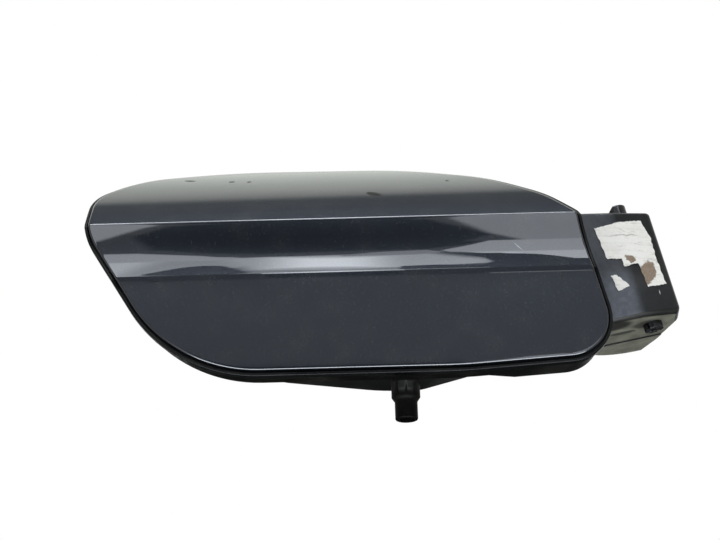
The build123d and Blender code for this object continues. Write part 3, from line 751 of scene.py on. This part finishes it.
def plated_metal(name, metal, streak):
    """Plated or drawn metal: bright, with fine streaks and dulled patches."""
    material, tree, shader, place = start_material(name)
    drawn = put(tree, "ShaderNodeMapping", {"Vector": place, "Scale": streak})
    lines = put(tree, "ShaderNodeTexNoise", {"Vector": drawn, "Scale": 1.0 / (0.7 * MM), "Detail": 3.0})
    dull = put(tree, "ShaderNodeTexNoise", {"Vector": place, "Scale": 1.0 / (4.0 * MM), "Detail": 4.0})
    patches = put(tree, "ShaderNodeMapRange", {0: dull, 1: 0.4, 2: 0.75, 3: 0.0, 4: 0.5}, **SMOOTH)
    coloured = put(tree, "ShaderNodeMix", {0: patches, 6: tuple(metal), 7: linear("#4f4a41")}, **COLOURS)
    tree.links.new(coloured, shader.inputs["Base Color"])
    streaked = put(tree, "ShaderNodeMapRange", {0: lines, 1: 0.3, 2: 0.7, 3: 0.25, 4: 0.45}, **SMOOTH)
    tree.links.new(streaked, shader.inputs["Roughness"])
    shader.inputs["Metallic"].default_value = 1.0
    return material


def acetal():
    """Natural acetal: milky, waxy and smooth, with greasy smears."""
    look = settings().finishes
    material, tree, shader, place = start_material("natural_acetal")
    smear = put(tree, "ShaderNodeTexNoise", {"Vector": place, "Scale": 1.0 / (3.0 * MM), "Detail": 5.0})
    greasy = put(tree, "ShaderNodeMapRange", {0: smear, 1: 0.5, 2: 0.8, 3: 0.0, 4: 0.45}, **SMOOTH)
    milky = tuple(look.acetal)
    coloured = put(tree, "ShaderNodeMix", {0: greasy, 6: milky, 7: linear("#5e5647")}, **COLOURS)
    tree.links.new(coloured, shader.inputs["Base Color"])
    waxy = put(tree, "ShaderNodeMapRange", {0: smear, 1: 0.3, 2: 0.7, 3: 0.3, 4: 0.45}, **SMOOTH)
    tree.links.new(waxy, shader.inputs["Roughness"])
    return material


def torn_paper():
    """Old paper, torn: white fibre, wrinkled and smeared, stained brown by glue, soft and dull, with
    painted shade as dark lines in its wrinkles and along its sharpest crease.
    """
    look = settings().finishes
    material, tree, shader, place = start_material("torn_white_paper")
    fibre = put(tree, "ShaderNodeTexNoise", {"Vector": place, "Scale": 1.0 / (0.8 * MM), "Detail": 5.0})
    cloud = put(tree, "ShaderNodeTexNoise", {"Vector": place, "Scale": 1.0 / (6.0 * MM), "Detail": 5.0})
    tufts = {"Vector": place, "Scale": 1.0 / (2.2 * MM), "Detail": 6.0}
    fray = put(tree, "ShaderNodeTexNoise", tufts, "Color")
    shift = put(tree, "ShaderNodeVectorMath", {0: fray, 1: (0.5, 0.5, 0.5)}, operation="SUBTRACT")
    # Coordinates shaken by the fray, more for the stains' edges than for the wrinkles
    ragged = {0: shift, 1: (0.0035, 0.0, 0.0035), 2: place}
    torn = put(tree, "ShaderNodeVectorMath", ragged, operation="MULTIPLY_ADD")
    crooked = {0: shift, 1: (0.002, 0.0, 0.0016), 2: place}
    creased = put(tree, "ShaderNodeVectorMath", crooked, operation="MULTIPLY_ADD")
    # Thin dark lines on the wave crests: painted shade in the paper's wrinkles
    wrinkle_shade = put(
        tree,
        "ShaderNodeTexWave",
        {
            "Vector": creased,
            "Scale": 0.3 / (3.6 * MM),
            "Distortion": 2.0,
            "Detail": 3.0,
            "Detail Scale": 30.0,
        },
        "Fac",
        bands_direction="Z",
    )
    drawn = put(tree, "ShaderNodeMapping", {"Vector": creased, "Scale": (0.3, 1.0, 1.5)})
    smear = put(tree, "ShaderNodeTexNoise", {"Vector": drawn, "Scale": 1.0 / (1.6 * MM), "Detail": 6.0})
    # Painted shade along the paper's sharpest crease
    crease_shade = spot(tree, creased, (0.1110, -0.049, 0.0171), (0.012, 0.02, 0.0005), -0.5 * AXIS_SLANT, 0.8)
    aged = tuple(look.paper)
    for pattern, low, high, most, code in (
        (cloud, 0.45, 0.75, 0.3, "#c6c5c0"),
        (fibre, 0.55, 0.75, 0.25, "#a9a59b"),
        (wrinkle_shade, 0.9, 1.0, 0.12, "#8f8c85"),
        (smear, 0.56, 0.72, 0.4, "#97948d"),
        (crease_shade, 0.0, 1.0, 0.7, "#8d8b86"),
    ):
        share = put(tree, "ShaderNodeMapRange", {0: pattern, 1: low, 2: high, 3: 0.0, 4: most}, **SMOOTH)
        aged = put(tree, "ShaderNodeMix", {0: share, 6: aged, 7: linear(code)}, **COLOURS)
    near = spot(tree, torn, (0.1127, -0.0488, 0.0051), (0.0030, 0.01, 0.0020), 0.2, 0.25)
    long = spot(tree, torn, (0.1204, -0.0463, -0.0016), (0.0042, 0.012, 0.0072), 0.38, 0.18)
    both = put(tree, "ShaderNodeMath", {0: near, 1: long}, operation="MAXIMUM")
    patchy = narrowed(tree, both, ((fibre, 0.35, 0.6, 0.92, 1.0),))
    coloured = put(tree, "ShaderNodeMix", {0: patchy, 6: aged, 7: tuple(look.stain)}, **COLOURS)
    tree.links.new(coloured, shader.inputs["Base Color"])
    bump = put(tree, "ShaderNodeBump", {"Strength": 0.3, "Distance": 0.08 * MM, "Height": fibre})
    tree.links.new(bump, shader.inputs["Normal"])
    shader.inputs["Roughness"].default_value = 0.85
    shader.inputs["Specular IOR Level"].default_value = 0.2
    return material


# Operators


class FUELDOOR_OT_painted_panel(bpy.types.Operator):
    """Models the painted panel: crown, crease, cove and lower face, with a rounded rim"""

    bl_idname = "fueldoor.painted_panel"
    bl_label = "Painted panel"

    def inset(self, width):
        """Draws the selected face in, and leaves the inner face selected."""
        bpy.ops.object.mode_set(mode="EDIT")
        bpy.ops.mesh.inset(thickness=width, use_even_offset=True)
        bpy.ops.object.mode_set(mode="OBJECT")

    def note(self, piece, value):
        """Notes how far the corners of the selected face lie behind the panel's face."""
        set_back = piece.data.attributes["set_back"].data
        for face in piece.data.polygons:
            if face.select:
                for index in face.vertices:
                    set_back[index].value = value

    def execute(self, context):
        sizes = settings().panel
        section = Section(sizes)
        outline = [(p.x * MM, p.y * MM) for p in rounded_outline(PANEL_CORNERS)]
        low = min(z for x, z in outline)
        high = max(z for x, z in outline)
        left = min(x for x, z in outline)
        right = max(x for x, z in outline)
        piece = flat_piece("painted_panel", outline)
        piece.data.attributes.new("set_back", "FLOAT", "POINT")
        self.note(piece, sizes.rim_round)
        steps = 6
        bends = [0.5 * pi * k / steps for k in range(steps + 1)]
        for last, bend in zip(bends, bends[1:]):
            self.inset(sizes.rim_round * (cos(last) - cos(bend)))
            self.note(piece, sizes.rim_round * (1.0 - sin(bend)))
        self.inset(0.5 * MM)
        cut_rows(piece, [(0.0, 0.0, z) for z in section.rows(low, high)], (0.0, 0.0, 1.0))
        columns = 30
        spacing = (right - left) / columns
        cut_rows(piece, [(left + spacing * i, 0.0, 0.0) for i in range(1, columns)], (1.0, 0.0, 0.0))
        bpy.ops.object.mode_set(mode="EDIT")
        bpy.ops.mesh.select_all(action="SELECT")
        bpy.ops.mesh.extrude_region_move(TRANSFORM_OT_translate={"value": (0.0, sizes.thickness, 0.0)})
        bpy.ops.mesh.select_all(action="SELECT")
        bpy.ops.mesh.normals_make_consistent(inside=False)
        bpy.ops.object.mode_set(mode="OBJECT")
        set_back = piece.data.attributes["set_back"].data
        step = 0.1 * MM
        for vertex, rim in zip(piece.data.vertices, set_back):
            x, y, z = vertex.co
            slope = (section.depth(z + step) - section.depth(z - step)) / (2.0 * step)
            behind = sizes.thickness * sqrt(1.0 + slope * slope)
            is_front = y < 0.5 * sizes.thickness
            vertex.co = to_row(x, section.depth(z) + (rim.value if is_front else behind), z)
        finish_piece(piece, "door", "door_skin", charcoal_paint(), 40.0)
        return {"FINISHED"}


class FUELDOOR_OT_door_backing(bpy.types.Operator):
    """Dresses the carrier, its bond, the buffers, the catch and the catch's screws"""

    bl_idname = "fueldoor.door_backing"
    bl_label = "Door backing"

    def execute(self, context):
        look = settings().finishes
        carrier = moulded_plastic("moulded_black_carrier", "#060708", 0.5, 0.02, 0.3, 0.07)
        catch = moulded_plastic("smooth_black_acetal", "#161616", 1.2, 0.06, 0.35)
        soft = rubber()
        carry_over("door_carrier", "door", carrier)
        carry_over("bond_bead", "door", soft)
        carry_over("door_buffers", "door", soft)
        carry_over("door_catch", "door", catch)
        carry_over("catch_screws", "door", plated_metal("zinc_plated_steel", look.zinc, (1.0, 6.0, 1.0)))
        return {"FINISHED"}


class FUELDOOR_OT_housing(bpy.types.Operator):
    """Dresses the filler housing, its rim seal and the neck gaiter"""

    bl_idname = "fueldoor.housing"
    bl_label = "Filler housing"

    def execute(self, context):
        soft = rubber()
        carry_over("filler_housing", "housing", housing_plastic())
        carry_over("rim_seal", "housing", soft)
        carry_over("neck_gaiter", "housing", soft)
        return {"FINISHED"}


class FUELDOOR_OT_hinge(bpy.types.Operator):
    """Dresses the hinge pin and its spring"""

    bl_idname = "fueldoor.hinge"
    bl_label = "Hinge"

    def execute(self, context):
        look = settings().finishes
        pin = moulded_plastic("worn_black_nylon", "#0b0c0f", 1.5, 0.03, 0.22, 0.3)
        wire = plated_metal("drawn_spring_wire", look.wire, (1.0, 1.0, 0.3))
        carry_over("hinge_pin", "housing", pin)
        carry_over("hinge_spring", "housing", wire)
        return {"FINISHED"}


class FUELDOOR_OT_lock(bpy.types.Operator):
    """Dresses the lock's case, lid, plug blades, screws, bolt, guide and guide seal"""

    bl_idname = "fueldoor.lock"
    bl_label = "Lock"

    def execute(self, context):
        look = settings().finishes
        shell = moulded_plastic("moulded_black_nylon", "#141516", 0.8, 0.1, 0.45)
        lid = moulded_plastic("moulded_grey_nylon", "#232426", 0.8, 0.1, 0.5)
        brass = plated_metal("tinned_brass", look.brass, (1.0, 0.3, 1.0))
        zinc = plated_metal("zinc_plated_steel_lock", look.zinc, (1.0, 6.0, 1.0))
        carry_over("lock_case", "housing", shell)
        carry_over("lock_lid", "housing", lid)
        carry_over("bolt_guide", "housing", shell)
        carry_over("guide_seal", "housing", rubber())
        carry_over("plug_blades", "housing", brass)
        carry_over("lock_screws", "housing", zinc)
        carry_over("lock_bolt", "bolt", acetal())
        return {"FINISHED"}


class FUELDOOR_OT_torn_paper(bpy.types.Operator):
    """Models the torn paper on the face of the hinge pocket"""

    bl_idname = "fueldoor.torn_paper"
    bl_label = "Torn paper"

    def execute(self, context):
        sizes = settings().paper
        material = torn_paper()
        ridge, face = (size * MM for size in POCKET_RIDGE)
        side, side_depth = (size * MM for size in POCKET_SIDE)
        fall = (side_depth - face) / (side - ridge)
        crease_up, crease_width = (size * MM for size in PAPER_CREASE)
        spacing = 0.9 * MM
        for node, corners in (("paper_label", LABEL_CORNERS), ("paper_scrap", SCRAP_CORNERS)):
            piece = flat_piece(node + "_torn", [(b * MM, a * MM) for b, a in corners])
            bpy.ops.object.mode_set(mode="EDIT")
            bpy.ops.mesh.select_all(action="SELECT")
            for cuts in (5, 2):
                bpy.ops.mesh.subdivide(number_cuts=cuts)
            bpy.ops.object.mode_set(mode="OBJECT")
            # Uneven waves along the outline make the torn edge, in radians to the metre
            for i, vertex in enumerate(piece.data.vertices):
                wave = sin(vertex.co.x * 5200.0 + vertex.co.z * 1700.0)
                wave += 0.6 * sin(vertex.co.z * 8300.0 + i)
                vertex.co.x += sizes.tear * 0.4 * wave
                vertex.co.z += sizes.tear * 0.4 * sin(vertex.co.x * 6100.0 + i * 2.1)
            left = min(v.co.x for v in piece.data.vertices)
            right = max(v.co.x for v in piece.data.vertices)
            low = min(v.co.z for v in piece.data.vertices)
            high = max(v.co.z for v in piece.data.vertices)
            columns = [left + spacing * i for i in range(1, ceil((right - left) / spacing))] + [ridge]
            cut_rows(piece, [(x, 0.0, 0.0) for x in columns], (1.0, 0.0, 0.0))
            rows = [low + spacing * i for i in range(1, ceil((high - low) / spacing))]
            cut_rows(piece, [(0.0, 0.0, z) for z in rows], (0.0, 0.0, 1.0))
            for vertex in piece.data.vertices:
                across, up = vertex.co.x, vertex.co.z
                depth = face + max(across - ridge, 0.0) * fall
                ripple = sin(across * 620.0 + up * 900.0) + sin(across * 300.0 - up * 410.0)
                crease = max(0.0, 1.0 - abs(up - crease_up) / crease_width)
                depth -= sizes.thickness + sizes.wrinkle * (0.5 + 0.25 * ripple + crease)
                x = across * cos(AXIS_SLANT) - up * sin(AXIS_SLANT)
                z = across * sin(AXIS_SLANT) + up * cos(AXIS_SLANT)
                vertex.co = to_row(x, depth, z)
            apply_modifier(piece, "SOLIDIFY", thickness=sizes.thickness, offset=-1.0)
            finish_piece(piece, "housing", node, material, 60.0)
        return {"FINISHED"}


class FUELDOOR_OT_stage(bpy.types.Operator):
    """Sets the floor, the soft light, the cards and the camera"""

    bl_idname = "fueldoor.stage"
    bl_label = "Stage"

    def card(self, name, reach, points, strength, edge, tint):
        """A soft-edged card that bends round the middle of the cove, seen only in reflections."""
        middle = to_row(*COVE_MIDDLE)
        piece = flat_piece(name, [(x, reach * radians(rise)) for x, rise in points])
        bpy.ops.object.mode_set(mode="EDIT")
        bpy.ops.mesh.select_all(action="SELECT")
        bpy.ops.mesh.inset(thickness=edge, use_even_offset=True)
        bpy.ops.object.mode_set(mode="OBJECT")
        glow = piece.data.attributes.new("glow", "FLOAT", "POINT")
        for face in piece.data.polygons:
            if face.select:
                for index in face.vertices:
                    glow.data[index].value = 1.0
        bends = [reach * radians(rise) for rise in range(-180, 150, 5)]
        cut_rows(piece, [(0.0, 0.0, z) for z in bends], (0.0, 0.0, 1.0))
        for vertex in piece.data.vertices:
            rise = vertex.co.z / reach
            vertex.co = middle + Vector((vertex.co.x, -reach * cos(rise), reach * sin(rise)))
        material = bpy.data.materials.new(name)
        material.use_nodes = True
        tree = material.node_tree
        tree.nodes.remove(tree.nodes["Principled BSDF"])
        inside = put(tree, "ShaderNodeAttribute", output="Fac", attribute_name="glow")
        shown = put(tree, "ShaderNodeMapRange", {0: inside, 1: 0.0, 2: 1.0}, **SMOOTH)
        light = put(tree, "ShaderNodeEmission", {"Color": linear(tint), "Strength": strength})
        clear = put(tree, "ShaderNodeBsdfTransparent")
        seen = put(tree, "ShaderNodeMixShader", {0: shown, 1: clear, 2: light})
        tree.links.new(seen, tree.nodes["Material Output"].inputs["Surface"])
        piece.data.materials.append(material)
        piece.visible_camera = False
        piece.visible_diffuse = False
        piece.visible_shadow = False

    def set_camera(self, context):
        """Puts the camera in front of the panel and below it, a little rolled."""
        sizes = settings().stage
        drop = sizes.camera_drop
        roll = sizes.camera_roll
        back = Vector((0.0, -cos(drop), -sin(drop)))
        up = Vector((0.0, -sin(drop), cos(drop)))
        side = Vector((1.0, 0.0, 0.0))
        right = side * cos(roll) - up * sin(roll)
        top = side * sin(roll) + up * cos(roll)
        lens = bpy.data.cameras.new("camera")
        lens.lens = sizes.lens
        lens.sensor_width = 36.0
        lens.clip_start = 0.01
        camera = bpy.data.objects.new("camera", lens)
        context.collection.objects.link(camera)
        place = to_row(*CAMERA_TARGET) + back * sizes.camera_distance
        turned = Matrix((right, top, back)).transposed().to_4x4()
        camera.matrix_world = Matrix.Translation(place) @ turned
        context.scene.camera = camera

    def set_world(self, scene):
        """A plain white surround at a strength that shows colours as they are written."""
        world = bpy.data.worlds.new("pale_studio")
        world.use_nodes = True
        surround = world.node_tree.nodes["Background"]
        surround.inputs["Color"].default_value = linear("#ffffff")
        surround.inputs["Strength"].default_value = 1.0
        scene.world = world
        scene.view_settings.view_transform = "Standard"

    def set_floor(self, context):
        """Matt pale paper under the part: it keeps the part's shadow."""
        bpy.ops.object.select_all(action="DESELECT")
        bpy.ops.mesh.primitive_plane_add(size=8.0, location=(0.0, 0.0, -settings().stage.floor_drop))
        floor = context.object
        floor.name = "floor"
        matt = bpy.data.materials.new("pale_paper_floor")
        matt.use_nodes = True
        shader = matt.node_tree.nodes["Principled BSDF"]
        shader.inputs["Base Color"].default_value = linear("#f4f4f2")
        shader.inputs["Roughness"].default_value = 0.9
        floor.data.materials.append(matt)

    def execute(self, context):
        self.set_camera(context)
        self.set_world(context.scene)
        self.set_floor(context)
        for row in CARDS:
            self.card(*row)
        return {"FINISHED"}


class FUELDOOR_PT_panel(bpy.types.Panel):
    """Lists the pieces of the fuel door"""

    bl_label = "Fuel Door"
    bl_idname = "FUELDOOR_PT_panel"
    bl_space_type = "VIEW_3D"
    bl_region_type = "UI"
    bl_category = "Fuel Door"

    def draw(self, context):
        for operator in OPERATORS:
            self.layout.operator(operator.bl_idname)


OPERATORS = (
    FUELDOOR_OT_painted_panel,
    FUELDOOR_OT_door_backing,
    FUELDOOR_OT_housing,
    FUELDOOR_OT_hinge,
    FUELDOOR_OT_lock,
    FUELDOOR_OT_torn_paper,
    FUELDOOR_OT_stage,
)
CLASSES = (PanelSizes, PaperSizes, Finishes, StageSizes, FuelDoorSettings, *OPERATORS, FUELDOOR_PT_panel)


def register():
    for item in CLASSES:
        bpy.utils.register_class(item)
    bpy.types.Scene.fuel_door = PointerProperty(type=FuelDoorSettings)


def unregister():
    del bpy.types.Scene.fuel_door
    for item in reversed(CLASSES):
        bpy.utils.unregister_class(item)


def main():
    register()
    bpy.ops.fueldoor.painted_panel()
    bpy.ops.fueldoor.door_backing()
    bpy.ops.fueldoor.housing()
    bpy.ops.fueldoor.hinge()
    bpy.ops.fueldoor.lock()
    bpy.ops.fueldoor.torn_paper()
    bpy.ops.fueldoor.stage()


if __name__ == "__main__":
    main()
